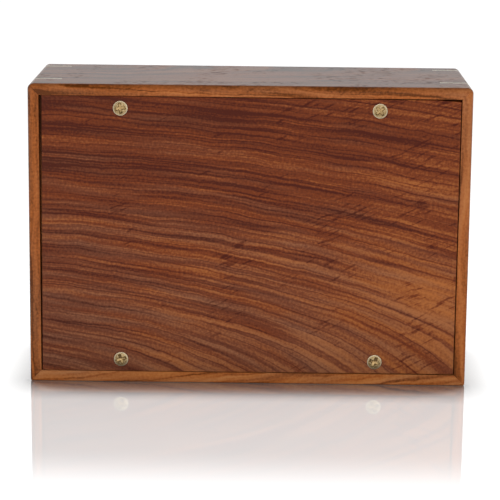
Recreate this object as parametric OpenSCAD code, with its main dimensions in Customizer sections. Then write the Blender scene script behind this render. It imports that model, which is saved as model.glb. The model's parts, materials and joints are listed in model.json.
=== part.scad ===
// Keepsake box in oiled rosewood with mitred, keyed corners and a screwed-on base panel.
//
// The box stands on one long side. X runs along the long sides and Z is up. The base panel
// faces -Y and the face board faces +Y. The origin is the middle of the side it stands on.
// Left and right, top and bottom are as seen by someone facing the base panel.

/* [Case] */
// Outside length of the long sides, along X
case_w = 254; // [200:1:320]
// Outside length of the short sides, along Z
case_h = 175; // [130:1:240]
// Outside depth from the base rim to the face, along Y
case_d = 96; // [70:1:140]
// Thickness of the four side boards
wall_t = 19; // [15.5:0.5:25]
// Radius that eases the outer edges
edge_r = 2; // [0.5:0.25:4]

/* [Base panel] */
// Width of the rim around the base panel
base_rim = 6.4; // [5:0.1:8]
// Thickness of the base panel
panel_t = 8; // [6:0.5:12]
// How far the panel lies below its rim
panel_sunk = 0.4; // [0:0.1:1.5]
// Gap at the panel's left edge, at the top
gap_left_high = 1.4; // [0.2:0.1:2]
// Gap at the panel's left edge, at the bottom
gap_left_low = 0.7; // [0.2:0.1:2]
// Gap along the panel's right edge
gap_right = 0.5; // [0.2:0.1:2]
// Gap over the panel's top edge, at the left
gap_top_left = 0.2; // [0.2:0.1:2]
// Gap over the panel's top edge, at the right
gap_top_right = 0.6; // [0.2:0.1:2]
// Gap under the panel's bottom edge, at the left
gap_bottom_left = 0.2; // [0.2:0.1:2]
// Gap under the panel's bottom edge, at the right
gap_bottom_right = 0.6; // [0.2:0.1:2]
// Length of the wedge planed off the panel's top right corner
wedge_long = 14; // [4:1:30]
// Depth of that wedge at the corner
wedge_deep = 0.9; // [0.1:0.1:2]

/* [Face board] */
// Width of the rim around the face board
face_rim = 6.4; // [5:0.1:8]
// Thickness of the face board, glued flush with its rim
face_t = 9; // [6:0.5:11]

/* [Corner keys] */
// Thickness of a key
key_t = 3.2; // [2:0.1:4.5]
// Length that a key shows along each side board
key_leg = 17.6; // [12:0.1:24]
// Distance from the base panel's ledge to the middle of the first row of keys
key_past_panel = 16; // [3:0.1:24]
// Distance from the face board's ledge to the middle of the second row of keys
key_past_face = 4.4; // [2.8:0.1:12]

/* [Screws] */
// Distance of the screws from the middle of the box, along X
screw_x = 74; // [40:1:78]
// How far the screws stand inside the middle of the ledge
screw_shift = 0.9; // [0:0.1:1.2]
// Diameter of the head
head_d = 8.4; // [7:0.1:9]
// Height of the head's dome above its edge
head_dome = 0.5; // [0.3:0.1:1]
// How far the head's edge lies below the panel
head_sunk = 0.3; // [0.1:0.1:0.6]
// Angle of the countersunk head
head_angle = 82; // [80:1:90]
// Outside diameter of the thread
thread_d = 4.2; // [3.5:0.1:4.8]
// Length of the screw below its head's edge
screw_len = 25; // [20:1:35]
// Length of the screw's point
point_len = 5; // [3:0.5:7]
// Width of the cross recess from tip to tip
recess_w = 4.6; // [3.5:0.1:5]
// Width of each arm of the cross recess
recess_arm = 1.1; // [0.8:0.1:1.5]
// Depth of the cross recess
recess_deep = 2.2; // [1.5:0.1:2.8]

/* [Fits] */
// Clearance around the shank in the panel, on the radius
shank_clear = 0.2; // [0.1:0.05:0.5]
// Clearance around the thread in the side boards, on the radius
thread_clear = 0.05; // [0.02:0.01:0.1]
// Clearance under the countersunk head, on the radius
sink_clear = 0.1; // [0.05:0.05:0.4]
// Space left beyond the screw's point
point_clear = 1; // [0.5:0.5:3]

/* [Hidden] */
$fn = 64;

// Overrun of every cutting shape past the surface it cuts
over = 1;

// Planes across the depth of the box
base_y = -case_d / 2;
face_y = case_d / 2;
panel_out_y = base_y + panel_sunk;
panel_in_y = panel_out_y + panel_t;
board_in_y = face_y - face_t;
key_base_y = panel_in_y + key_past_panel;
key_face_y = board_in_y - key_past_face;

// Screws: plane of their heads' edges, height of each row, and turn of each recess
head_y = panel_out_y + head_sunk;
ledge_mid = (base_rim + wall_t) / 2;
screw_low_z = ledge_mid + screw_shift;
screw_high_z = case_h - screw_low_z;
turn_bottom_left = 20;
turn_bottom_right = 65;
turn_top_left = 10;
turn_top_right = 40;
head_r = head_d / 2;
thread_r = thread_d / 2;
head_slope = tan(head_angle / 2);
head_cone = (head_r - thread_r) / head_slope;
dome_r = (head_r * head_r + head_dome * head_dome) / (2 * head_dome);
recess_tip_r = recess_arm * 0.7;

// Left, right, bottom and top of the base panel's recess
recess_x = case_w / 2 - base_rim;
recess_low = base_rim;
recess_high = case_h - base_rim;

rosewood = "#8a4e2c";
rosewood_dark = "#6b3a22";
maple = "#d9c6a5";
brass = "#cbb98a";

// Carries an outline drawn in X and Z along Y, from y0 to y1
module along_y(y0, y1) {
    translate([0, y1, 0]) rotate([90, 0, 0]) linear_extrude(y1 - y0) children();
}

// Rectangle with round corners, centred on the origin
module eased_rectangle(w, h, r) {
    square([w - 2 * r, h], center = true);
    square([w, h - 2 * r], center = true);
    for (sx = [-1, 1], sy = [-1, 1])
        translate([sx * (w / 2 - r), sy * (h / 2 - r)]) circle(r);
}

// Solid block of the outside size, with all twelve edges eased
module eased_block() {
    translate([0, 0, case_h / 2]) intersection() {
        linear_extrude(case_h, center = true) eased_rectangle(case_w, case_d, edge_r);
        rotate([90, 0, 0]) linear_extrude(case_d, center = true)
            eased_rectangle(case_w, case_h, edge_r);
        rotate([90, 0, 90]) linear_extrude(case_w, center = true)
            eased_rectangle(case_d, case_h, edge_r);
    }
}

// Recess in the rim that takes the base panel
module base_rebate() {
    along_y(base_y - over, panel_in_y)
        translate([-recess_x, recess_low]) square([2 * recess_x, recess_high - recess_low]);
}

// Recess in the rim that takes the face board
module face_rebate(overrun) {
    along_y(board_in_y, face_y + overrun)
        translate([-case_w / 2 + face_rim, face_rim])
            square([case_w - 2 * face_rim, case_h - 2 * face_rim]);
}

// Triangular plate across the corner on side sx, at the bottom (sz = -1) or top (sz = 1)
module corner_plate(sx, sz, y) {
    corner_z = sz < 0 ? 0 : case_h;
    along_y(y - key_t / 2, y + key_t / 2)
        translate([sx * case_w / 2, corner_z]) scale([-sx, -sz])
            polygon([[-over, -over], [key_leg + over, -over], [-over, key_leg + over]]);
}

// All eight corner plates, which cut the slots that the keys fill
module key_slots() {
    for (sx = [-1, 1], sz = [-1, 1], y = [key_base_y, key_face_y]) corner_plate(sx, sz, y);
}

// One hole down the ledge for each screw
module thread_holes() {
    bottom_y = head_y + screw_len + point_clear;
    for (sx = [-1, 1], z = [screw_low_z, screw_high_z])
        translate([sx * screw_x, bottom_y, z]) rotate([90, 0, 0])
            cylinder(h = bottom_y - panel_in_y + over, r = thread_r + thread_clear);
}

// Cuts one mitred side board, given by its outline, out of the eased block
module side_board(outline) {
    color(rosewood) difference() {
        intersection() {
            eased_block();
            along_y(base_y - over, face_y + over) polygon(outline);
        }
        base_rebate();
        face_rebate(over);
        key_slots();
        thread_holes();
    }
}

// Outline of the bottom board: its ends are mitred at 45 degrees
function bottom_outline() = [
    [-case_w / 2 - over, -over], [case_w / 2 + over, -over],
    [case_w / 2 - wall_t, wall_t], [-case_w / 2 + wall_t, wall_t]
];

// Outline of the left board: its ends are mitred at 45 degrees
function left_outline() = [
    [-case_w / 2 - over, -over], [-case_w / 2 + wall_t, wall_t],
    [-case_w / 2 + wall_t, case_h - wall_t], [-case_w / 2 - over, case_h + over]
];

// The same outline on the other side of the box
function upside_down(outline) = [for (p = outline) [p[0], case_h - p[1]]];
function left_to_right(outline) = [for (p = outline) [-p[0], p[1]]];

module long_side_bottom() side_board(bottom_outline());
module long_side_top() side_board(upside_down(bottom_outline()));
module short_side_left() side_board(left_outline());
module short_side_right() side_board(left_to_right(left_outline()));

// Board glued into the rim on the far side
module face_board() {
    color(rosewood) face_rebate(0);
}

// Countersunk hole through the panel, drawn along Z with the head's edge at z = 0
module panel_hole() {
    shank_r = thread_r + shank_clear;
    sink_r = head_r + sink_clear;
    sink_low = -(sink_r - shank_r) / head_slope;
    sink_high = head_sunk + over;
    translate([0, 0, -panel_t - over]) cylinder(h = panel_t + 2 * over, r = shank_r);
    translate([0, 0, sink_low])
        cylinder(h = sink_high - sink_low, r1 = shank_r, r2 = sink_r + sink_high * head_slope);
}

// Puts a shape drawn along Z at one screw's place, with its +Z pointing out of the panel
module at_screw(sx, z) {
    translate([sx * screw_x, head_y, z]) rotate([90, 0, 0]) children();
}

// Hand-trimmed panel, which lies in its recess with uneven gaps
module base_panel() {
    right = recess_x - gap_right;
    high_right = recess_high - gap_top_right;
    outline = [
        [-recess_x + gap_left_low, recess_low + gap_bottom_left],
        [right, recess_low + gap_bottom_right],
        [right, high_right - wedge_deep],
        [right - wedge_long, high_right],
        [-recess_x + gap_left_high, recess_high - gap_top_left]
    ];
    color(rosewood_dark) difference() {
        along_y(panel_out_y, panel_in_y) polygon(outline);
        for (sx = [-1, 1], z = [screw_low_z, screw_high_z]) at_screw(sx, z) panel_hole();
    }
}

// Key glued into its slot and trimmed flush with the eased corner
module corner_key(sx, sz, y) {
    color(maple) intersection() {
        eased_block();
        corner_plate(sx, sz, y);
    }
}

module key_base_bottom_left() corner_key(-1, -1, key_base_y);
module key_base_bottom_right() corner_key(1, -1, key_base_y);
module key_base_top_left() corner_key(-1, 1, key_base_y);
module key_base_top_right() corner_key(1, 1, key_base_y);
module key_face_bottom_left() corner_key(-1, -1, key_face_y);
module key_face_bottom_right() corner_key(1, -1, key_face_y);
module key_face_top_left() corner_key(-1, 1, key_face_y);
module key_face_top_right() corner_key(1, 1, key_face_y);

// Cross recess that narrows towards its floor
module cross_recess() {
    intersection() {
        for (turn = [0, 90]) rotate([0, 0, turn])
            translate([-recess_w, -recess_arm / 2, -recess_deep])
                cube([2 * recess_w, recess_arm, recess_deep + head_dome + over]);
        translate([0, 0, -recess_deep])
            cylinder(h = recess_deep + head_dome, r1 = recess_tip_r, r2 = recess_w / 2);
    }
}

// Oval-head wood screw, drawn along Z with its head's edge at z = 0 and its point down
module wood_screw() {
    shank_bottom = -(screw_len - point_len);
    difference() {
        union() {
            intersection() {
                translate([0, 0, head_dome - dome_r]) sphere(dome_r);
                cylinder(h = head_dome + over, r = head_r);
            }
            translate([0, 0, -head_cone]) cylinder(h = head_cone, r1 = thread_r, r2 = head_r);
            translate([0, 0, shank_bottom]) cylinder(h = -shank_bottom, r = thread_r);
            translate([0, 0, -screw_len]) cylinder(h = point_len, r1 = 0, r2 = thread_r);
        }
        cross_recess();
    }
}

module placed_screw(sx, z, turn) {
    color(brass) at_screw(sx, z) rotate([0, 0, turn]) wood_screw();
}

module screw_bottom_left() placed_screw(-1, screw_low_z, turn_bottom_left);
module screw_bottom_right() placed_screw(1, screw_low_z, turn_bottom_right);
module screw_top_left() placed_screw(-1, screw_high_z, turn_top_left);
module screw_top_right() placed_screw(1, screw_high_z, turn_top_right);

long_side_bottom();
long_side_top();
short_side_left();
short_side_right();
face_board();
base_panel();
key_base_bottom_left();
key_base_bottom_right();
key_base_top_left();
key_base_top_right();
key_face_bottom_left();
key_face_bottom_right();
key_face_top_left();
key_face_top_right();
screw_bottom_left();
screw_bottom_right();
screw_top_left();
screw_top_right();
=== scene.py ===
# Keepsake box in rosewood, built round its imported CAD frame: every board, key and screw is
# remade as a fine mesh in the place that the frame gives it, with procedural materials.
import json
import math

import bmesh
import bpy
import numpy as np
from bpy.props import FloatProperty, FloatVectorProperty, PointerProperty
from mathutils import Euler, Matrix, Vector

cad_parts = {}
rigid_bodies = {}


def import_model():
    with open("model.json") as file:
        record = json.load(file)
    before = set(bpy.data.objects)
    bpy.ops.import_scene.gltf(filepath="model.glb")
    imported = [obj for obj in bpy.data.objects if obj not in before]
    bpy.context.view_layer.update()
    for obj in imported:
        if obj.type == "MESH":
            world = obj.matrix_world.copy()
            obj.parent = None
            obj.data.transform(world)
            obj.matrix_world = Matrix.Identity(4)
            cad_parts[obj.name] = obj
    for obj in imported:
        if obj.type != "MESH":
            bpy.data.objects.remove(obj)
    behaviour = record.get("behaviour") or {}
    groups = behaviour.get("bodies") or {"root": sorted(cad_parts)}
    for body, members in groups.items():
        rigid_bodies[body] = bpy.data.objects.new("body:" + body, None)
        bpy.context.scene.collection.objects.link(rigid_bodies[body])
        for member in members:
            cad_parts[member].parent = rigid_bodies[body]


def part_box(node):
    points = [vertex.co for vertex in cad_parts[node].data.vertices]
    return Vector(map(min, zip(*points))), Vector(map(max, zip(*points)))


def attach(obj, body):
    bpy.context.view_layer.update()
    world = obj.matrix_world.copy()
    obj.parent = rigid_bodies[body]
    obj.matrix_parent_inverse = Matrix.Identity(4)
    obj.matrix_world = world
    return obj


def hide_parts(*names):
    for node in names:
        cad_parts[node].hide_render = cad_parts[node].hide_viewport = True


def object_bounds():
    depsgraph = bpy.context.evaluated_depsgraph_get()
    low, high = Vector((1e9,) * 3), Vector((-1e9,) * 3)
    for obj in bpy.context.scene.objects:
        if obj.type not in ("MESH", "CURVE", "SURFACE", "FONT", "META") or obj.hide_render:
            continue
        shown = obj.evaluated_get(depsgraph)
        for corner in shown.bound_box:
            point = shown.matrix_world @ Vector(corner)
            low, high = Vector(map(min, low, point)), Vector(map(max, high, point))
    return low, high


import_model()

bl_info = {
    "name": "Rosewood Keepsake Box",
    "version": (1, 0, 0),
    "blender": (4, 5, 0),
    "location": "3D View > Sidebar > Keepsake Box",
    "description": "Builds a mitred and keyed rosewood box with a screwed-on base panel",
    "category": "Add Mesh",
}

MM = 0.001

# Points closer together than this become one point
WELD = 2e-6

# A flat face has one more row of points this far from its rounded edge, which keeps its shading flat
FLAT_MARGIN = 0.3 * MM

# Angles of the points round a small quarter-round
QUARTER = np.linspace(0, math.pi / 2, 4)


def low(node):
    """Lowest corner of a CAD node, in metres."""
    return np.array(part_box(node)[0])


def high(node):
    """Highest corner of a CAD node, in metres."""
    return np.array(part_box(node)[1])


# The box's planes and sizes, read from the frame
CAD_BOX = [list(corner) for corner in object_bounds()]
BOX_LOW, BOX_HIGH = np.array(CAD_BOX)
WIDTH, HEIGHT = (BOX_HIGH - BOX_LOW)[[0, 2]]
BASE_Y, FACE_Y = BOX_LOW[1], BOX_HIGH[1]
WALL = high("long_side_bottom")[2]
RIM = low("face_board")[2]
BOARD_Y = low("face_board")[1]
PANEL_OUT, PANEL_IN = low("base_panel")[1], high("base_panel")[1]
KEY_LEG = high("key_base_bottom_left")[0] - low("key_base_bottom_left")[0]
KEY_ROWS = {row: (low(f"key_{row}_bottom_left")[1], high(f"key_{row}_bottom_left")[1])
            for row in ("base", "face")}
CORNERS = {"bottom_left": (-1, -1), "bottom_right": (1, -1), "top_left": (-1, 1), "top_right": (1, 1)}
SCREW_AT = {c: (low("screw_" + c) + high("screw_" + c)) / 2 for c in CORNERS}
HEAD_R = (high("screw_top_left")[0] - low("screw_top_left")[0]) / 2
SCREW_FRONT, SCREW_TIP = low("screw_top_left")[1], high("screw_top_left")[1]

# How far each driven screw happened to turn, in degrees
SCREW_TURNS = {"bottom_left": 20, "bottom_right": 65, "top_left": 10, "top_right": 40}


# ---------------------------------------------------------------- settings

def length(name, default, description):
    """A size in metres, given its default in millimetres."""
    return FloatProperty(name=name, default=default * MM, min=0, unit="LENGTH", precision=5,
                         description=description)


def linear(hex_code):
    """Turns an sRGB hex colour into linear red, green, blue and alpha."""
    c = np.array([int(hex_code[i:i + 2], 16) for i in (1, 3, 5)]) / 255
    c = np.where(c <= 0.04045, c / 12.92, ((c + 0.055) / 1.055) ** 2.4)
    return (*c.tolist(), 1.0)


def colour(name, hex_code, description):
    """A colour, given its sRGB hex code."""
    return FloatVectorProperty(name=name, default=linear(hex_code), size=4, min=0, max=1,
                               subtype="COLOR", description=description)


class CaseSettings(bpy.types.PropertyGroup):
    """Sizes of the side boards and the face board"""
    low_r: length("Edge at the bottom", 1.1, "Radius of the outer edges at the box's bottom")
    high_r: length("Edge at the top", 3.4, "Radius of the outer edges at the box's top")
    mitre_gap: length("Mitre line", 0.04, "Half the hairline left where two boards meet")
    arris: length("Arris", 0.12, "Softening of the rims' inner edges")
    hole_r: length("Screw hole", 2.15, "Radius of the holes down the ledge")
    hole_past: length("Hole past the point", 1.0, "Room left beyond a screw's point")
    board_arris: length("Face board arris", 0.25, "Softening round the face board")


class PanelSettings(bpy.types.PropertyGroup):
    """Sizes of the base panel"""
    arris: length("Arris", 0.2, "Softening round the panel's edges")
    slack_left: length("Slack left", 1.1, "How much wider the left gap is at the top")
    slack_top: length("Slack top", 0.4, "How much wider the top gap is at the right")
    slack_bottom: length("Slack bottom", 0.4, "How much wider the bottom gap is at the right")
    wedge_long: length("Wedge length", 14.0, "Length planed off at the top right corner")
    wedge_deep: length("Wedge depth", 0.9, "Depth planed off at the top right corner")
    mouth_r: length("Countersink", 4.5, "Radius of a countersink's mouth")
    shank_r: length("Shank hole", 2.3, "Radius of a screw's hole through the panel")
    sink_deep: length("Countersink depth", 2.6, "Depth of a countersink's cone")


class KeySettings(bpy.types.PropertyGroup):
    """Sizes of the corner keys"""
    arris: length("Arris", 0.12, "Softening along a key's outer edges")
    glue: length("Glue line", 0.03, "Glue line on each side of a key")


class ScrewSettings(bpy.types.PropertyGroup):
    """Sizes of the wood screws"""
    dome: length("Dome", 0.5, "Height of the head's dome above its edge")
    cone: length("Head cone", 2.4, "Height of the countersunk head below its edge")
    neck: length("Neck", 1.5, "Plain length between the head and the thread")
    thread_r: length("Thread radius", 2.1, "Outside radius of the thread")
    core_r: length("Core radius", 1.5, "Radius at the thread's root")
    pitch: length("Pitch", 1.7, "Distance from one turn of thread to the next")
    point: length("Point", 5.0, "Length of the tapering point")
    recess_r: length("Recess reach", 3.1, "Distance from the axis to the tip of a recess arm")
    recess_arm: length("Recess arm", 0.8, "Half the width of an arm of the cross recess")
    recess_deep: length("Recess depth", 2.0, "Depth of the cross recess at the axis")


class WoodSettings(bpy.types.PropertyGroup):
    """Colours and grain of the rosewood"""
    panel_warm_dark: colour("Panel, warm dark", "#3e1509", "Late wood of the base panel")
    panel_warm_mid: colour("Panel, warm", "#622d13", "Middle tone of the base panel")
    panel_warm_light: colour("Panel, warm light", "#8c5228", "Early wood of the base panel")
    panel_cool_dark: colour("Panel, violet dark", "#3c190c", "Late wood with a violet cast")
    panel_cool_mid: colour("Panel, violet", "#5c3524", "Middle tone with a violet cast")
    panel_cool_light: colour("Panel, violet light", "#7c5036", "Early wood with a violet cast")
    side_warm_dark: colour("Sides, warm dark", "#502606", "Late wood of the side boards")
    side_warm_mid: colour("Sides, warm", "#864920", "Middle tone of the side boards")
    side_warm_light: colour("Sides, warm light", "#9e6334", "Early wood of the side boards")
    side_cool_dark: colour("Sides, violet dark", "#492a18", "Late wood with a violet cast")
    side_cool_mid: colour("Sides, violet", "#7a4a2c", "Middle tone with a violet cast")
    side_cool_light: colour("Sides, violet light", "#936544", "Early wood with a violet cast")
    ring_pitch: length("Ring pitch", 6.0, "Distance from one growth ring to the next")
    streak: length("Streak", 3.0, "Width of the streaks along the grain")
    line: length("Line", 2.0, "Least distance between the thin dark lines along the grain")
    fibre: length("Fibre", 1.0, "Width of the fine lines along the grain")
    grit: length("Grit", 0.7, "Size of the specks of light and dark between the fibres")
    bend: length("Bend", 45.0, "Distance over which the grain wanders")
    ripple: length("Ripple", 7.0, "Distance from one small wave of the grain to the next")
    pore_long: length("Pore length", 8.0, "Length of the dark dashes")
    pore_wide: length("Pore width", 1.1, "Width of the dark dashes")
    pore_turn: FloatProperty(name="Pore slant", default=math.radians(25), subtype="ANGLE",
                             description="Slant of the dashes against the grain")


class StageSettings(bpy.types.PropertyGroup):
    """The camera, the floor and the lights"""
    camera_at: FloatVectorProperty(name="Camera", default=(0.010951, -1.198288, 0.328136),
                                   subtype="TRANSLATION", unit="LENGTH", description="Camera's place")
    pan: FloatProperty(name="Pan", default=math.radians(0.508), subtype="ANGLE",
                       description="Turn of the camera to the left")
    tilt: FloatProperty(name="Tilt", default=math.radians(12.176), subtype="ANGLE",
                        description="How far the camera looks down")
    roll: FloatProperty(name="Roll", default=math.radians(0.581), subtype="ANGLE",
                        description="Lean of the camera")
    lens: FloatProperty(name="Lens", default=146.8, unit="CAMERA", description="Focal length")
    floor_half: length("Floor", 4000, "Half the floor's side")
    floor_paper: colour("Floor colour", "#e9e9e9", "The floor's own colour")
    front_power: FloatProperty(name="Front light", default=40, unit="POWER",
                               description="Power of the light in front of the box")
    floor_power: FloatProperty(name="Floor light", default=72, unit="POWER",
                               description="Power of the light above the floor")


# ---------------------------------------------------------------- mesh tools

def joined(*parts):
    """One array of numbers out of several."""
    return np.concatenate([np.atleast_1d(np.asarray(part, float)) for part in parts])


def ease(points, case):
    """Rounds the box's outer edges: a point outside the box shrunk by the radius is drawn in until
    it lies no more than the radius from the shrunk box. The radius grows from bottom to top."""
    radius = np.interp(points[..., 2:], (BOX_LOW[2], BOX_HIGH[2]), (case.low_r, case.high_r))
    core = np.clip(points, BOX_LOW + radius, BOX_HIGH - radius)
    away = points - core
    distance = np.linalg.norm(away, axis=-1, keepdims=True)
    not_zero = 1e-12
    return core + away * np.minimum(1, radius / np.maximum(distance, not_zero))


def edge_steps(case, count=7):
    """Distances from a sharp edge that ease() turns into even steps round its widest arc: the
    radius times one less the tangent of evenly spaced angles. One step past the arc keeps the
    shading of the flat beside it flat."""
    arc = case.high_r * (1 - np.tan(np.linspace(math.pi / 4, 0, count)))
    return joined(arc, case.high_r + FLAT_MARGIN)


def seen_from(centre, gap, start, stop, count):
    """Places along a line from start to stop that are evenly spaced in angle, seen from a point
    beside centre at a distance of gap: centre plus gap times the tangent of the angle."""
    ends = np.arctan((np.array([start, stop]) - centre) / gap)
    return centre + gap * np.tan(np.linspace(*ends, count))


def grid_faces(rows, columns, start=0):
    """Four-sided faces that join neighbours in a grid whose points are numbered row by row."""
    at = np.arange(rows * columns).reshape(rows, columns) + start
    corners = [at[:-1, :-1], at[:-1, 1:], at[1:, 1:], at[1:, :-1]]
    return np.stack(corners, -1).reshape(-1, 4).tolist()


def make_piece(name, sheets, caps=(), sharp=35):
    """Welds grids of points into one closed mesh.

    A sheet is an array (rows, columns, 3) whose neighbours are joined by four-sided faces. A cap is
    a ring of points (n, 3) closed by one flat face. sharp is the angle in degrees past which an
    edge is a crease."""
    points, faces, start = [], [], 0
    for sheet in sheets:
        rows, columns = sheet.shape[:2]
        faces += grid_faces(rows, columns, start)
        points.append(sheet.reshape(-1, 3))
        start += rows * columns
    for ring in caps:
        faces.append(list(range(start, start + len(ring))))
        points.append(ring)
        start += len(ring)
    mesh = bpy.data.meshes.new(name)
    mesh.from_pydata(np.concatenate(points).tolist(), [], faces)
    work = bmesh.new()
    work.from_mesh(mesh)
    bmesh.ops.remove_doubles(work, verts=work.verts, dist=WELD)
    bmesh.ops.dissolve_degenerate(work, edges=work.edges, dist=WELD)
    bmesh.ops.recalc_face_normals(work, faces=work.faces)
    loose = sum(not edge.is_manifold for edge in work.edges)
    work.to_mesh(mesh)
    work.free()
    if loose:
        raise RuntimeError(f"{name} isn't closed: {loose} edges don't join two faces")
    mesh.shade_smooth()
    mesh.set_sharp_from_angle(angle=math.radians(sharp))
    piece = bpy.data.objects.new(name, mesh)
    bpy.context.collection.objects.link(piece)
    return piece


def finish_piece(piece, body, node, material):
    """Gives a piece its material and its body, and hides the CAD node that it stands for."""
    piece.data.materials.append(material)
    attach(piece, body)
    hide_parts(node)


def holed_patch(loop, centre, rings):
    """Rows of points from a closed loop to a round hole and down it. Each ring is a radius and the
    y where it lies, and its points stand round the centre at the same angles as the loop's."""
    angle = np.arctan2(loop[:, 2] - centre[2], loop[:, 0] - centre[0])
    circle = np.stack([np.cos(angle), np.zeros(len(angle)), np.sin(angle)], -1)
    rows = [loop]
    for radius, y in rings:
        rows.append(circle * radius + (centre[0], y, centre[2]))
    return rows


# ---------------------------------------------------------------- side boards

# Each board's length, and where its own (along, y, thickness) lies in the box
BOARDS = {
    "long_side_bottom": (WIDTH, lambda along, y, t: (along, y, t)),
    "long_side_top": (WIDTH, lambda along, y, t: (along, y, HEIGHT - t)),
    "short_side_left": (HEIGHT, lambda along, y, t: (t - WIDTH / 2, y, HEIGHT / 2 + along)),
    "short_side_right": (HEIGHT, lambda along, y, t: (WIDTH / 2 - t, y, HEIGHT / 2 + along)),
}


def board_profile(case):
    """Cross-section of a side board, as rows of y, thickness and whether the row is in a key slot.

    It runs from the ledge under the base panel round the outside to the inner face. Each slot
    doubles the rows at its edges, and each rim's inner edge is a small quarter-round."""
    steps = edge_steps(case)
    out, back = case.arris * (1 - np.sin(QUARTER)), case.arris * (1 - np.cos(QUARTER))
    rows = [(PANEL_IN, RIM, 0)]
    rows += [(BASE_Y + y, RIM - t, 0) for y, t in zip(out, back)]
    rows += [(BASE_Y, RIM - case.arris - FLAT_MARGIN, 0)]
    rows += [(BASE_Y, t, 0) for t in steps[::-1]]
    rows += [(BASE_Y + s, 0, 0) for s in steps[1:]]
    for front, behind in KEY_ROWS.values():
        rows += [(front, 0, 0), (front, 0, 1), (behind, 0, 1), (behind, 0, 0)]
    rows += [(FACE_Y - s, 0, 0) for s in steps[:0:-1]]
    rows += [(FACE_Y, t, 0) for t in steps]
    rows += [(FACE_Y, RIM - case.arris - FLAT_MARGIN, 0)]
    rows += [(FACE_Y - y, RIM - t, 0) for y, t in zip(out[::-1], back[::-1])]
    rows += [(BOARD_Y, RIM, 0), (BOARD_Y, WALL, 0), (PANEL_IN, WALL, 0)]
    return np.array(rows, float)


def side_board(name, case):
    """A mitred board: its cross-section carried along its length.

    A point at thickness t runs along a line that ends at half the length less t, which is the
    mitre. In a slot's rows, where the distance from the end is less than a key's leg, the surface
    drops to the plane on which that distance and the depth add up to the leg."""
    span, place = BOARDS[name]
    half = span / 2 - case.mitre_gap
    y, t, slotted = (column[:, None] for column in board_profile(case).T)
    near_end = edge_steps(case)
    from_end = joined(near_end, np.linspace(near_end[-1], KEY_LEG, num=5)[1:])
    if span == WIDTH:
        screw_in = WIDTH / 2 - abs(SCREW_AT["top_left"][0])
        past_key = seen_from(screw_in, (WALL - RIM) / 2, KEY_LEG, half, count=17)
    else:
        past_key = np.linspace(KEY_LEG, half, num=7)
    from_end = joined(from_end, past_key[1:])
    side = np.repeat([-1, 1], [len(from_end), len(from_end) - 1])[None, :]
    from_end = joined(from_end, from_end[-2::-1])[None, :]
    slot_end = (KEY_LEG + from_end) / 2
    in_slot = (slotted > 0) & (from_end < KEY_LEG)
    along = np.where(in_slot, side * (half - slot_end), side * (1 - from_end / half) * (half - t))
    depth = np.where(in_slot, KEY_LEG - slot_end, t)
    grid = ease(np.stack(place(along, np.broadcast_to(y, along.shape), depth), -1), case)
    sheets, middle = [grid], grid.shape[1] // 2
    if span == WIDTH:
        drilled = SCREW_TIP + case.hole_past
        rings = [(case.hole_r, PANEL_IN), (case.hole_r, drilled), (0, drilled + case.hole_r / 2)]
        for centre in SCREW_AT.values():
            if abs(centre[2] - grid[0, 0, 2]) < WALL:
                half_way = slice(0, middle + 1) if centre[0] < 0 else slice(middle, None)
                loop = np.concatenate([grid[0, half_way], grid[-1, half_way][::-1],
                                       grid[0, half_way][:1]])
                sheets.append(np.array(holed_patch(loop, centre, rings)))
    else:
        sheets.append(grid[[-1, 0]])
    return make_piece("board_" + name, sheets, [grid[:, 0], grid[:, -1]])


# ---------------------------------------------------------------- plates

def plate(name, outline, across, up, front, back, arris, holes=None):
    """A flat board with softened edges, made of four quarters and a band round them.

    outline(a, b, inset) places the unit square, and across and up are the steps of a and b from an
    edge to the middle. A quarter is two flat grids, or one patch from the front's edge through its
    hole to the back's edge. The band is a quarter-round, the side and another quarter-round."""
    def lay(a, b, inset, y):
        """The outline's points at a depth of y."""
        x, z = outline(a, b, inset)
        return np.stack(np.broadcast_arrays(x, y, z), -1)

    sheets, flat = [], arris + FLAT_MARGIN
    for sx in (-1, 1):
        for sz in (-1, 1):
            a, b = (across if sx < 0 else 1 - across), (up if sz < 0 else 1 - up)
            if holes is None:
                sheets += [lay(a[:, None], b[None, :], flat, y) for y in (front, back)]
                continue
            a_loop = joined(a, np.full(len(b) - 2, a[-1]), a[::-1], np.full(len(b) - 1, a[0]))
            b_loop = joined(np.full(len(a), b[0]), b[1:-1], np.full(len(a), b[-1]), b[-2::-1])
            centre, rings = holes[sx, sz]
            rows = holed_patch(lay(a_loop, b_loop, flat, front), centre, rings)
            sheets.append(np.array([*rows, lay(a_loop, b_loop, flat, back)]))
    a, b = joined(across, 1 - across[-2::-1]), joined(up, 1 - up[-2::-1])
    a_rim = joined(a, np.ones(len(b) - 1), a[-2::-1], np.zeros(len(b) - 1))
    b_rim = joined(np.zeros(len(a)), b[1:], np.ones(len(a) - 1), b[-2::-1])
    out, round_back = arris * (1 - np.sin(QUARTER)), arris * (1 - np.cos(QUARTER))
    insets, ys = joined(flat, out, round_back, flat), joined(front, front + round_back, back - out, back)
    sheets.append(np.array([lay(a_rim, b_rim, inset, y) for inset, y in zip(insets, ys)]))
    return make_piece(name, sheets)


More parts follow.
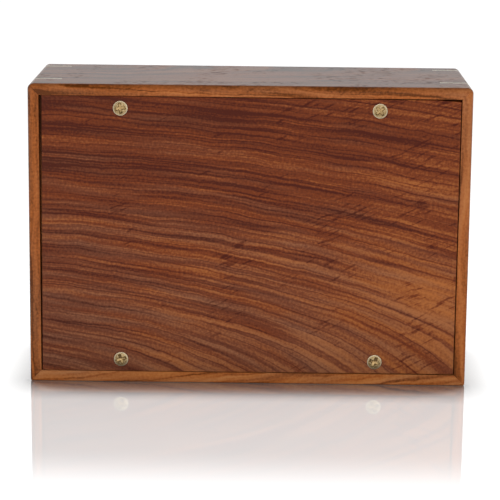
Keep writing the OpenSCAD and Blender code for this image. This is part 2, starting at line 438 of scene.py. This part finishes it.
def base_panel(panel):
    """The hand-trimmed base panel: each edge slants by its slack, the top right corner has a wedge
    planed off it, and each quarter has a countersunk hole."""
    lo, hi = low("base_panel"), high("base_panel")

    def outline(a, b, inset):
        """Four slanting edges, the top one lowered where the wedge is planed off."""
        left, right = lo[0] + panel.slack_left * b + inset, hi[0] - inset
        x = left + (right - left) * a
        bottom = lo[2] + panel.slack_bottom * a + inset
        wedge = np.clip(1 - (right - x) / panel.wedge_long, 0, 1) * panel.wedge_deep
        top = hi[2] - panel.slack_top * a - wedge - inset
        return x, bottom + (top - bottom) * b

    width, screw = hi[0] - lo[0], SCREW_AT["bottom_left"]
    across = seen_from(screw[0] - lo[0], screw[2] - lo[2], 0, width / 2, count=25) / width
    across = np.sort(joined(across, panel.wedge_long / width))
    up = np.linspace(0, 0.5, num=10)

    # Down a hole: a tiny chamfer, the countersink's cone and the shank hole
    chamfer_r, chamfer_deep = panel.mouth_r + 0.15 * MM, 0.1 * MM
    rings = [(chamfer_r + FLAT_MARGIN, PANEL_OUT), (chamfer_r, PANEL_OUT),
             (panel.mouth_r, PANEL_OUT + chamfer_deep),
             (panel.shank_r, PANEL_OUT + panel.sink_deep), (panel.shank_r, PANEL_IN)]
    holes = {sides: (SCREW_AT[corner], rings) for corner, sides in CORNERS.items()}
    return plate("panel_base", outline, across, up, PANEL_OUT, PANEL_IN, panel.arris, holes)


def face_board(case):
    """The show face: a plain rectangle inside the face's rim."""
    lo, hi = low("face_board"), high("face_board")

    def outline(a, b, inset):
        """A rectangle, drawn in by the inset."""
        return (lo[0] + inset + (hi[0] - lo[0] - 2 * inset) * a,
                lo[2] + inset + (hi[2] - lo[2] - 2 * inset) * b)

    steps = np.linspace(0, 0.5, num=7)
    return plate("panel_face", outline, steps, steps, BOARD_Y, FACE_Y, case.board_arris)


# ---------------------------------------------------------------- keys

def corner_key(name, corner, row, case, key):
    """A triangular key. Its lines run from tip to tip, outside round the eased corner and inside
    straight across it, and the rows between go round the key's thickness."""
    sx, sz = CORNERS[corner]
    near_corner = edge_steps(case)
    reach = joined(np.linspace(KEY_LEG, near_corner[-1], num=4)[:-1], near_corner[::-1])
    along = joined(reach, np.zeros(len(reach) - 1))
    up = along[::-1]
    share = np.linspace(0, 1, len(along))
    front, back = KEY_ROWS[row][0] + key.glue, KEY_ROWS[row][1] - key.glue

    def line(inside, y):
        """Outer line at inside 0, straight inner line at inside 1."""
        x = along + ((1 - share) * KEY_LEG - along) * inside
        z = up + (share * KEY_LEG - up) * inside
        place = (sx * (WIDTH / 2 - x), np.full(len(x), y), HEIGHT / 2 + sz * (HEIGHT / 2 - z))
        return ease(np.stack(place, -1), case)

    inset = key.arris / (KEY_LEG / 2)
    first, last = front + key.arris, back - key.arris
    rows = [line(1, front), line(inset, front), line(0, first), line(0, last), line(inset, back),
            line(1, back), line(1, last), line(1, first), line(1, front)]
    return make_piece(name, [np.array(rows)], sharp=25)


# ---------------------------------------------------------------- screws

def wood_screw(name, corner, screw):
    """A wood screw: circles of points whose radius and depth depend on the angle and the row.

    The head is a dome with a cross recess, whose floor rises from the axis to the arms' tips. Below
    its cone and neck the radius swings from core to thread with the depth less the angle's share of
    a pitch, which winds the thread, and shrinks to nothing along the point."""
    angle = np.linspace(0, 2 * math.pi, num=97)[None, :]
    across = np.linspace(0, HEAD_R, num=46)[:, None]
    arm_x, arm_z = across * np.cos(angle), across * np.sin(angle)
    beside = np.minimum(abs(arm_x), abs(arm_z))
    wall_wide = 0.2 * MM
    wall = np.clip((screw.recess_arm + wall_wide / 2 - beside) / wall_wide, 0, 1)
    floor = screw.recess_deep * np.clip(1 - across / screw.recess_r, 0, 1) ** 0.7
    head_depth = screw.dome * (across / HEAD_R) ** 2 + floor * wall * wall * (3 - 2 * wall)

    # From the head's edge down its cone and along the neck
    cone_end = screw.dome + screw.cone
    neck_end = cone_end + screw.neck
    row_step = screw.pitch / 8
    collar = np.array([(HEAD_R - 0.02 * MM, screw.dome + 0.12 * MM), (screw.thread_r, cone_end),
                       (screw.core_r, cone_end + 0.4 * MM), (screw.core_r, neck_end - row_step)])

    # The thread's ridge is a triangle that spans five eighths of the pitch
    end = SCREW_TIP - SCREW_FRONT
    thread_depth = joined(np.arange(neck_end, end, row_step), end)[:, None]
    tooth = np.mod(thread_depth / screw.pitch - angle / (2 * math.pi), 1)
    ridge = np.clip(1 - 1.6 * abs(2 * tooth - 1), 0, 1)
    ridge = ridge * np.clip((thread_depth - neck_end) / screw.pitch, 0, 1)
    taper = np.clip((end - thread_depth) / screw.point, 0, 1) ** 0.8
    thread_r = (screw.core_r + (screw.thread_r - screw.core_r) * ridge) * taper

    shape = (1, angle.shape[1])
    radius = np.concatenate([np.tile(across, shape), np.tile(collar[:, :1], shape), thread_r])
    depth = np.concatenate([head_depth, np.tile(collar[:, 1:], shape), np.tile(thread_depth, shape)])
    at, turned = SCREW_AT[corner], angle + math.radians(SCREW_TURNS[corner])
    sheet = np.stack([at[0] + radius * np.cos(turned), SCREW_FRONT + depth,
                      at[2] + radius * np.sin(turned)], -1)
    return make_piece(name, [sheet], sharp=40)


def mark_head(piece, corner, screw):
    """Stores two shares on each point: how deep it lies in the cross recess, which is its depth
    below the dome over the recess's depth, and how far it is from the axis to the head's edge."""
    spots = np.empty(len(piece.data.vertices) * 3)
    piece.data.vertices.foreach_get("co", spots)
    x, y, z = spots.reshape(-1, 3).T
    from_axis = np.hypot(x - SCREW_AT[corner][0], z - SCREW_AT[corner][2])
    depth = y - SCREW_FRONT - screw.dome * (from_axis / HEAD_R) ** 2
    on_head = depth < screw.recess_deep * 1.01
    inside = on_head & (from_axis < screw.recess_r)
    # The brass material turns these shares into its painted recess shade and glint and its painted edge
    # highlight
    shares = {"recess": np.where(inside, depth / screw.recess_deep, 0), "reach": from_axis / HEAD_R}
    for name, values in shares.items():
        marks = piece.data.attributes.new(name, "FLOAT", "POINT")
        marks.data.foreach_set("value", values.astype("f"))


# ---------------------------------------------------------------- materials

def add(tree, kind, inputs=None, out=0, stops=None, **settings):
    """Adds a node with its settings, sets or links its inputs, and returns its output named out.
    stops are the positions and colours of a colour ramp."""
    made = tree.nodes.new(kind)
    for name, value in settings.items():
        setattr(made, name, value)
    for name, value in (inputs or {}).items():
        if isinstance(value, bpy.types.NodeSocket):
            tree.links.new(value, made.inputs[name])
        else:
            made.inputs[name].default_value = value
    if stops:
        while len(made.color_ramp.elements) < len(stops):
            made.color_ramp.elements.new(1)
        for element, (position, value) in zip(made.color_ramp.elements, stops):
            element.position = position
            element.color = value if hasattr(value, "__len__") else (value, value, value, 1)
    return made.outputs[out]


def new_material(name):
    """An empty material, its node tree and its output's surface socket."""
    material = bpy.data.materials.new(name)
    material.use_nodes = True
    tree = material.node_tree
    tree.nodes.clear()
    output = tree.nodes.new("ShaderNodeOutputMaterial")
    return material, tree, output.inputs["Surface"]


def tones(wood, part):
    """Warm and violet-cast colour ramps of the panel or the sides: dark, middle and light."""
    shades = ((0.08, "dark"), (0.5, "mid"), (0.95, "light"))
    return [[(at, getattr(wood, f"{part}_{cast}_{shade}")) for at, shade in shades]
            for cast in ("warm", "cool")]


def rosewood(name, wood, part, origin, turn, pith, stretch, tone=0.545, pored=0.38,
             drift=(0, 0, 0), cool_drift=(0, 0, 0), rings=None):
    """Indian rosewood, planed, oiled and rubbed: brown and violet rings in low contrast, fine
    lines, short dark pores that cross the grain, and a dull sheen that shows at a slant.

    The pattern works in millimetres in the board's own frame: the grain runs along x from origin,
    at an angle of turn to the box's X. A ring is a surface of equal distance from the pith, with x
    divided by stretch. tone is the board's middle tone, pored is how much a pore darkens it, and
    drift and cool_drift are how much tone and how much violet a millimetre adds along each axis.
    rings are tones of the main rings at their distances from the pith, or None where chance draws
    them."""
    material, tree, surface = new_material(name)
    shift = Euler((0, turn, 0)).to_matrix() @ Vector(origin) / -MM
    spot = add(tree, "ShaderNodeTexCoord", out="Object")
    grain = add(tree, "ShaderNodeMapping", {
        "Vector": spot, "Location": shift, "Rotation": (0, turn, 0), "Scale": (1 / MM,) * 3})

    # Distance from the pith, with the grain wandering by some millimetres in long bends and short
    # ripples
    bend_by, ripple_by = (1.6,) * 3, (0.4,) * 3
    bend = add(tree, "ShaderNodeTexNoise", {"Vector": grain, "Scale": MM / wood.bend, "Detail": 1.0},
               out="Color", normalize=False)
    ripple = add(tree, "ShaderNodeTexNoise", {"Vector": grain, "Scale": MM / wood.ripple,
                                              "Detail": 2.0}, out="Color", normalize=False)
    bent = add(tree, "ShaderNodeVectorMath", {0: bend, 1: bend_by, 2: grain}, operation="MULTIPLY_ADD")
    bent = add(tree, "ShaderNodeVectorMath", {0: ripple, 1: ripple_by, 2: bent},
               operation="MULTIPLY_ADD")
    squeezed = add(tree, "ShaderNodeVectorMath", {
        0: bent, 1: (1 / stretch, 1, 1), 2: (-pith[0] / stretch, -pith[1], -pith[2])},
        operation="MULTIPLY_ADD")
    ring = add(tree, "ShaderNodeVectorMath", {0: squeezed}, out="Value", operation="LENGTH")
    along = add(tree, "ShaderNodeSeparateXYZ", {0: bent}, out="X")
    flat = add(tree, "ShaderNodeCombineXYZ", {"X": along, "Y": ring})

    def lines(width, long, detail, roughness=0.6):
        """Noise drawn out along the grain: lines of a width, in metres, and long times as long."""
        at = add(tree, "ShaderNodeVectorMath", {0: flat, 1: (1 / long, 1, 0)}, operation="MULTIPLY")
        return add(tree, "ShaderNodeTexNoise", {
            "Vector": at, "Scale": MM / width / 2, "Detail": detail, "Roughness": roughness},
            normalize=False)

    # Streaks, fibres and seams, which are thin dark lines where a noise crosses nought
    streaks = lines(wood.streak, 45, 2.0)
    fibres = lines(wood.fibre, 34, 3.0, 0.65)
    between = add(tree, "ShaderNodeMath", {0: lines(wood.line, 80, 1.0)}, operation="ABSOLUTE")
    seams = add(tree, "ShaderNodeMapRange", {"Value": between, "From Max": 0.15, "To Min": 1.0,
                                             "To Max": 0.0})

    # Growth rings, above nought where they are light and below it where they are dark
    if rings:
        start, stop = rings[0][0], rings[-1][0]
        where = add(tree, "ShaderNodeMapRange", {"Value": ring, "From Min": start, "From Max": stop})
        growth = add(tree, "ShaderNodeValToRGB", {"Fac": where},
                     stops=[((r - start) / (stop - start), level) for r, level in rings])
        growth = add(tree, "ShaderNodeMath", {0: growth, 1: 0.5}, operation="SUBTRACT")
    else:
        growth = add(tree, "ShaderNodeTexNoise", {
            "W": ring, "Scale": MM / wood.ring_pitch, "Detail": 3.0, "Roughness": 0.6},
            noise_dimensions="1D", normalize=False)
        growth = add(tree, "ShaderNodeMath", {0: growth, 1: 0.25}, operation="MULTIPLY")

    # Specks, clouds a few centimetres across, and an even slope of tone across the board
    grit = add(tree, "ShaderNodeTexNoise", {"Vector": grain, "Scale": MM / wood.grit / 2,
                                            "Detail": 1.0}, normalize=False)
    clouds = add(tree, "ShaderNodeTexNoise", {"Vector": grain, "Scale": 0.018, "Detail": 1.0},
                 normalize=False)
    slope = add(tree, "ShaderNodeVectorMath", {0: grain, 1: drift}, out="Value",
                operation="DOT_PRODUCT")

    # Pores: short dashes at a slant, thicker in some places than others
    dash_at = add(tree, "ShaderNodeMapping", {
        "Vector": bent, "Rotation": (0, -wood.pore_turn, 0),
        "Scale": (wood.pore_long / MM, 2.5, wood.pore_wide / MM)}, vector_type="TEXTURE")
    dashes = add(tree, "ShaderNodeTexNoise", {"Vector": dash_at, "Scale": 0.7, "Detail": 1.0})
    crowding = add(tree, "ShaderNodeTexNoise", {"Vector": grain, "Scale": 0.035, "Detail": 2.0})
    crowding = add(tree, "ShaderNodeMath", {0: along, 1: 0.0007, 2: crowding},
                   operation="MULTIPLY_ADD")
    needed = add(tree, "ShaderNodeMapRange", {"Value": crowding, "From Min": 0.42, "From Max": 0.66,
                                              "To Min": 0.80, "To Max": 0.50})
    over = add(tree, "ShaderNodeMath", {0: dashes, 1: needed}, operation="SUBTRACT")
    pores = add(tree, "ShaderNodeMapRange", {"Value": over, "From Min": 0.0, "From Max": 0.2})

    # The tone of each spot, from its layers and their weights, and the share of violet in its colour
    for layer, weight in ((growth, 0.72), (streaks, 0.05), (fibres, 0.26), (seams, -0.36),
                          (grit, 0.21), (clouds, 0.05), (slope, 1.0), (pores, -pored)):
        tone = add(tree, "ShaderNodeMath", {0: layer, 1: weight, 2: tone}, operation="MULTIPLY_ADD")
    warm, cool = (add(tree, "ShaderNodeValToRGB", {"Fac": tone}, stops=ramp)
                  for ramp in tones(wood, part))
    cast = add(tree, "ShaderNodeVectorMath", {0: grain, 1: cool_drift}, out="Value",
               operation="DOT_PRODUCT")
    cast = add(tree, "ShaderNodeMath", {0: lines(wood.streak, 12, 2.0), 1: 0.8, 2: cast},
               operation="MULTIPLY_ADD")
    cast = add(tree, "ShaderNodeMapRange", {"Value": cast, "From Min": -0.28, "From Max": 1.0})
    tinted = add(tree, "ShaderNodeMix", {0: cast, 6: warm, 7: cool}, out=2, data_type="RGBA")

    # Pores and lines are fine furrows in the rubbed surface
    relief = add(tree, "ShaderNodeMath", {0: fibres, 1: 0.4, 2: 0.5}, operation="MULTIPLY_ADD")
    relief = add(tree, "ShaderNodeMath", {0: pores, 1: -2 * pored, 2: relief}, operation="MULTIPLY_ADD")
    bump = add(tree, "ShaderNodeBump", {"Height": relief, "Strength": 0.5, "Distance": 0.05 * MM})
    rough = add(tree, "ShaderNodeMath", {0: pores, 1: 0.7 * pored, 2: 0.3}, operation="MULTIPLY_ADD")
    shader = add(tree, "ShaderNodeBsdfPrincipled", {
        "Base Color": tinted, "Roughness": rough, "Normal": bump, "IOR": 1.5,
        "Specular IOR Level": 0.1})
    tree.links.new(shader, surface)
    return material


# Tones of the base panel's main rings, at their distances from the pith in millimetres
PANEL_RINGS = (
    (40, 0.50), (80, 0.46), (88, 0.60), (97, 0.42), (106, 0.50), (118, 0.63), (127, 0.53),
    (134, 0.48), (139, 0.40), (144, 0.60), (148, 0.44), (158, 0.38), (168, 0.42), (172, 0.66),
    (179, 0.36), (188, 0.46), (196, 0.30), (208, 0.58), (220, 0.45),
)


def panel_wood(wood):
    """The base panel, cut a hand's breadth above and to the right of the pith."""
    lo = low("base_panel")
    middle = (0, PANEL_OUT, HEIGHT / 2)
    away = (Vector(middle) - Vector((lo[0], PANEL_OUT, lo[2]))) / MM
    return rosewood("Rosewood base panel", wood, "panel", origin=middle, turn=0,
                    pith=(-77 - away.x, 0, -33 - away.z), stretch=math.sqrt(10),
                    drift=(0.0008, 0, -0.0018), cool_drift=(-0.0019, 0, -0.0055), rings=PANEL_RINGS)


def maple(name):
    """Hard maple, sawn thin and rubbed down: pale cream with faint brown flecks along the grain,
    so the keys read as light stripes round the corners."""
    material, tree, surface = new_material(name)
    spot = add(tree, "ShaderNodeTexCoord", out="Object")
    fleck = (16 * MM, 1.1 * MM, 1.4 * MM)
    turned = add(tree, "ShaderNodeMapping", {
        "Vector": spot, "Rotation": (0, math.radians(40), 0), "Scale": fleck}, vector_type="TEXTURE")
    fibres = add(tree, "ShaderNodeTexNoise", {"Vector": turned, "Scale": 1.0, "Detail": 3.0})
    cream = add(tree, "ShaderNodeValToRGB", {"Fac": fibres},
                stops=[(0.3, linear("#cfc3ab")), (0.52, linear("#e4dac4")), (0.75, linear("#eee6d4"))])
    shader = add(tree, "ShaderNodeBsdfPrincipled", {
        "Base Color": cream, "Roughness": 0.4, "IOR": 1.5, "Specular IOR Level": 0.15})
    tree.links.new(shader, surface)
    return material


def plated_brass(name):
    """Steel screw with a thin brass plating, tumbled: a dull gold head with fine scratches, a painted
    highlight round its edge broken by wear, and in the cross recess a painted shade and glint."""
    material, tree, surface = new_material(name)
    spot = add(tree, "ShaderNodeTexCoord", out="Object")
    scratches_per_metre = 1400.0
    wear = add(tree, "ShaderNodeTexNoise", {
        "Vector": spot, "Scale": scratches_per_metre, "Detail": 3.0})
    # The recess is painted: darker just below its mouth, a painted shade, and lighter deeper down, a
    # painted glint; on the flats the colour varies with wear
    depth = add(tree, "ShaderNodeAttribute", out="Fac", attribute_name="recess")
    wear_and_painted_recess = add(tree, "ShaderNodeMath", {0: wear, 1: 0.9, 2: depth}, operation="MULTIPLY_ADD")
    gold = add(tree, "ShaderNodeValToRGB", {"Fac": wear_and_painted_recess}, stops=[
        (0.38, linear("#9c8765")), (0.54, linear("#715d3b")), (0.9, linear("#b3976a"))])
    reach = add(tree, "ShaderNodeAttribute", out="Fac", attribute_name="reach")
    # Painted highlight round the head's edge in a pale colour, broken by wear
    edge = add(tree, "ShaderNodeMath", {0: wear, 1: 0.12, 2: reach}, operation="MULTIPLY_ADD")
    edge = add(tree, "ShaderNodeMapRange", {"Value": edge, "From Min": 0.91, "From Max": 0.97})
    metal = add(tree, "ShaderNodeMix", {0: edge, 6: gold, 7: linear("#a3967d")}, out=2,
                data_type="RGBA")
    rough = add(tree, "ShaderNodeMapRange", {"Value": wear, "To Min": 0.28, "To Max": 0.5})
    bump = add(tree, "ShaderNodeBump", {"Height": wear, "Strength": 0.4, "Distance": 0.03 * MM})
    shader = add(tree, "ShaderNodeBsdfPrincipled", {
        "Base Color": metal, "Metallic": 1.0, "Roughness": rough, "Normal": bump})
    tree.links.new(shader, surface)
    return material


# ---------------------------------------------------------------- stage

def floor_material(stage):
    """Glossy white acrylic with a painted glow, brighter the further from the box, and it mirrors
    the box's foot faintly. Its gloss is dulled over a short way in front of the box. A painted
    shadow darkens the floor's colour by ambient occlusion in a narrow band along the box's front foot."""
    material, tree, surface = new_material("Acrylic floor")
    spot = add(tree, "ShaderNodeTexCoord", out="Object")
    forward = add(tree, "ShaderNodeSeparateXYZ", {0: spot}, out="Y")
    sideways = add(tree, "ShaderNodeMath", {0: forward.node.outputs["X"]}, operation="ABSOLUTE")

    # The share of gloss
    polish = add(tree, "ShaderNodeMapRange", {
        "Value": forward, "From Min": BASE_Y - 235 * MM, "From Max": BASE_Y - 125 * MM,
        "To Max": 2.12}, interpolation_type="SMOOTHSTEP")
    fresnel = add(tree, "ShaderNodeFresnel", {"IOR": 1.65})
    share = add(tree, "ShaderNodeMath", {0: fresnel, 1: polish}, operation="MULTIPLY")

    # Painted shadow along the foot: ambient occlusion darkens the floor's colour, and the shadow is left
    # out behind the front and beside the box
    behind = add(tree, "ShaderNodeMapRange", {
        "Value": forward, "From Min": BASE_Y - 4 * MM, "From Max": BASE_Y + 4 * MM})
    beside = add(tree, "ShaderNodeMapRange", {
        "Value": sideways, "From Min": WIDTH / 2 - 6 * MM, "From Max": WIDTH / 2 + 4 * MM})
    shadow_left_out = add(tree, "ShaderNodeMath", {0: behind, 1: beside}, operation="MAXIMUM")
    open_sky = add(tree, "ShaderNodeAmbientOcclusion", {"Distance": 50 * MM}, out="AO")
    shade = add(tree, "ShaderNodeMapRange", {
        "Value": open_sky, "From Min": 0.66, "From Max": 0.84, "To Min": 0.22},
        interpolation_type="SMOOTHSTEP")
    shade = add(tree, "ShaderNodeMath", {0: shade, 1: shadow_left_out}, operation="MAXIMUM")
    # The floor's own colour, darkened by the painted shadow
    paper = add(tree, "ShaderNodeVectorMath", {0: stage.floor_paper[:3], "Scale": shade},
                operation="SCALE")
    paper = add(tree, "ShaderNodeBsdfDiffuse", {"Color": paper})

    # Painted glow: the floor shines though it is no lamp, brighter by the distance from the box in
    # metres
    away = add(tree, "ShaderNodeVectorMath", {0: spot}, out="Value", operation="LENGTH")
    glow = add(tree, "ShaderNodeMapRange", {"Value": away, "From Min": 0.2, "From Max": 2.5,
                                            "To Min": 0.03, "To Max": 0.6})
    glow = add(tree, "ShaderNodeEmission", {"Strength": glow})
    lit = add(tree, "ShaderNodeAddShader", {0: paper, 1: glow})
    gloss = add(tree, "ShaderNodeBsdfGlossy", {"Color": (0.95,) * 3 + (1,), "Roughness": 0.03})
    mixed = add(tree, "ShaderNodeMixShader", {0: share, 1: lit, 2: gloss})
    tree.links.new(mixed, surface)
    return material


# ---------------------------------------------------------------- operators

class KEEPSAKE_OT_side_boards(bpy.types.Operator):
    """Makes the four mitred side boards"""
    bl_idname = "keepsake.side_boards"
    bl_label = "Side Boards"

    def execute(self, context):
        scene = context.scene
        wood = scene.keepsake_wood
        long_way, up_way = math.radians(3), math.radians(88)
        cuts = {
            "long_side_bottom": (long_way, (-240, -70, 60), 0.72),
            "long_side_top": (-long_way, (180, 85, -90), 0.43),
            "short_side_left": (up_way, (-160, 90, 75), 0.37),
            "short_side_right": (-up_way, (140, -95, 80), 0.50),
        }
        for name, (turn, pith, tone) in cuts.items():
            label = "Rosewood " + name.replace("_", " ")
            material = rosewood(label, wood, "side", low(name), turn, pith, stretch=9, tone=tone,
                                pored=0.16)
            finish_piece(side_board(name, scene.keepsake_case), "case", name, material)
        return {"FINISHED"}


class KEEPSAKE_OT_face_board(bpy.types.Operator):
    """Makes the board of the show face"""
    bl_idname = "keepsake.face_board"
    bl_label = "Face Board"

    def execute(self, context):
        scene = context.scene
        wood = scene.keepsake_wood
        material = rosewood("Rosewood face board", wood, "panel", low("face_board"), 0, (110, -25, 190),
                            stretch=4)
        finish_piece(face_board(scene.keepsake_case), "case", "face_board", material)
        return {"FINISHED"}


class KEEPSAKE_OT_corner_keys(bpy.types.Operator):
    """Makes the eight corner keys"""
    bl_idname = "keepsake.corner_keys"
    bl_label = "Corner Keys"

    def execute(self, context):
        scene = context.scene
        material = maple("Maple keys")
        for row in KEY_ROWS:
            for corner in CORNERS:
                node = f"key_{row}_{corner}"
                key = corner_key("inlay_" + node, corner, row, scene.keepsake_case, scene.keepsake_keys)
                finish_piece(key, "case", node, material)
        return {"FINISHED"}


class KEEPSAKE_OT_base_panel(bpy.types.Operator):
    """Makes the base panel with its countersunk holes"""
    bl_idname = "keepsake.base_panel"
    bl_label = "Base Panel"

    def execute(self, context):
        scene = context.scene
        piece = base_panel(scene.keepsake_panel)
        finish_piece(piece, "base_panel", "base_panel", panel_wood(scene.keepsake_wood))
        return {"FINISHED"}


class KEEPSAKE_OT_screws(bpy.types.Operator):
    """Makes the four wood screws"""
    bl_idname = "keepsake.screws"
    bl_label = "Screws"

    def execute(self, context):
        screw = context.scene.keepsake_screws
        material = plated_brass("Brass-plated steel")
        for corner in CORNERS:
            node = "screw_" + corner
            piece = wood_screw("turned_" + node, corner, screw)
            mark_head(piece, corner, screw)
            finish_piece(piece, node, node, material)
        return {"FINISHED"}


class KEEPSAKE_OT_stage(bpy.types.Operator):
    """Sets the floor, the lights and the camera"""
    bl_idname = "keepsake.stage"
    bl_label = "Stage"

    def execute(self, context):
        scene, stage = context.scene, context.scene.keepsake_stage
        floor = self.floor(stage)
        self.sky(scene)
        screws = [piece for piece in scene.objects if piece.name.startswith("turned_screw")]
        in_front = ((0.35, -2.4, 0.80), (1.6, 1.0), stage.front_power, (0, 0, 0.09))
        overhead = ((0, 0.2, 2.4), (0.25, 0.5), stage.floor_power, (0, 0.2, 0))
        front = self.softbox("front_softbox", *in_front)
        glint = self.softbox("screw_softbox", *in_front)
        above = self.softbox("floor_softbox", *overhead)

        # Only the twin of the front light is mirrored, and only in the screws
        front.visible_glossy = above.visible_glossy = False
        for lamp, state, pieces in ((front, "EXCLUDE", [floor]), (glint, "INCLUDE", screws),
                                    (above, "INCLUDE", [floor])):
            lit = bpy.data.collections.new(lamp.name)
            for piece in pieces:
                lit.objects.link(piece)
            for link in lit.collection_objects:
                link.light_linking.link_state = state
            lamp.light_linking.receiver_collection = lit
        camera = bpy.data.cameras.new("camera")
        camera.lens = stage.lens
        camera.sensor_width = 36
        holder = bpy.data.objects.new("camera", camera)
        scene.collection.objects.link(holder)
        aim = Euler((math.pi / 2 - stage.tilt, 0, stage.pan)).to_matrix()
        aim = aim @ Matrix.Rotation(stage.roll, 3, "Z")
        holder.matrix_world = Matrix.Translation(stage.camera_at) @ aim.to_4x4()
        scene.camera = holder
        scene.view_settings.view_transform = "Standard"
        return {"FINISHED"}

    def floor(self, stage):
        """One flat sheet under the box."""
        steps = np.linspace(-stage.floor_half, stage.floor_half, num=5)
        x, y = np.meshgrid(steps, steps)
        points = np.stack([x, y, np.zeros(x.shape)], -1).reshape(-1, 3)
        mesh = bpy.data.meshes.new("floor")
        mesh.from_pydata(points.tolist(), [], grid_faces(*x.shape))
        mesh.materials.append(floor_material(stage))
        piece = bpy.data.objects.new("floor", mesh)
        bpy.context.collection.objects.link(piece)
        return piece

    def sky(self, scene):
        """White walls all round that darken towards the ceiling: brightness falls evenly while the
        upward part of a direction grows."""
        world = bpy.data.worlds.new("studio")
        world.use_nodes = True
        tree = world.node_tree
        tree.nodes.clear()
        up = add(tree, "ShaderNodeTexCoord", out="Generated")
        up = add(tree, "ShaderNodeSeparateXYZ", {0: up}, out="Z")
        level = add(tree, "ShaderNodeMapRange", {"Value": up, "From Min": 0.25, "From Max": 0.6,
                                                 "To Min": 1.4, "To Max": 0.3})
        light = add(tree, "ShaderNodeBackground", {"Strength": level})
        output = tree.nodes.new("ShaderNodeOutputWorld")
        tree.links.new(light, output.inputs["Surface"])
        scene.world = world

    def softbox(self, name, place, size, energy, aim):
        """A rectangular soft light: one in front lights the box, its twin glints on the screws, and
        one above lights the floor."""
        lamp = bpy.data.lights.new(name, "AREA")
        lamp.shape = "RECTANGLE"
        lamp.size, lamp.size_y = size
        lamp.energy = energy
        holder = bpy.data.objects.new(name, lamp)
        bpy.context.collection.objects.link(holder)
        holder.location = place
        holder.rotation_euler = (Vector(place) - Vector(aim)).to_track_quat("Z", "Y").to_euler()
        return holder


class KEEPSAKE_PT_panel(bpy.types.Panel):
    """Lists the steps that build the box"""
    bl_idname = "KEEPSAKE_PT_panel"
    bl_label = "Keepsake Box"
    bl_space_type = "VIEW_3D"
    bl_region_type = "UI"
    bl_category = "Keepsake Box"

    def draw(self, context):
        """One button for each step."""
        for operator in OPERATORS:
            self.layout.operator(operator.bl_idname)


OPERATORS = (KEEPSAKE_OT_side_boards, KEEPSAKE_OT_face_board, KEEPSAKE_OT_corner_keys,
             KEEPSAKE_OT_base_panel, KEEPSAKE_OT_screws, KEEPSAKE_OT_stage)
SETTINGS = {"keepsake_case": CaseSettings, "keepsake_panel": PanelSettings,
            "keepsake_keys": KeySettings, "keepsake_screws": ScrewSettings,
            "keepsake_wood": WoodSettings, "keepsake_stage": StageSettings}


def register():
    """Adds the settings, the steps and the panel."""
    for name, group in SETTINGS.items():
        bpy.utils.register_class(group)
        setattr(bpy.types.Scene, name, PointerProperty(type=group))
    for operator in OPERATORS:
        bpy.utils.register_class(operator)
    bpy.utils.register_class(KEEPSAKE_PT_panel)


def unregister():
    """Takes away what register() added."""
    bpy.utils.unregister_class(KEEPSAKE_PT_panel)
    for operator in reversed(OPERATORS):
        bpy.utils.unregister_class(operator)
    for name, group in SETTINGS.items():
        delattr(bpy.types.Scene, name)
        bpy.utils.unregister_class(group)


def main():
    register()
    for operator in OPERATORS:
        group, action = operator.bl_idname.split(".")
        getattr(getattr(bpy.ops, group), action)()


if __name__ == "__main__":
    main()
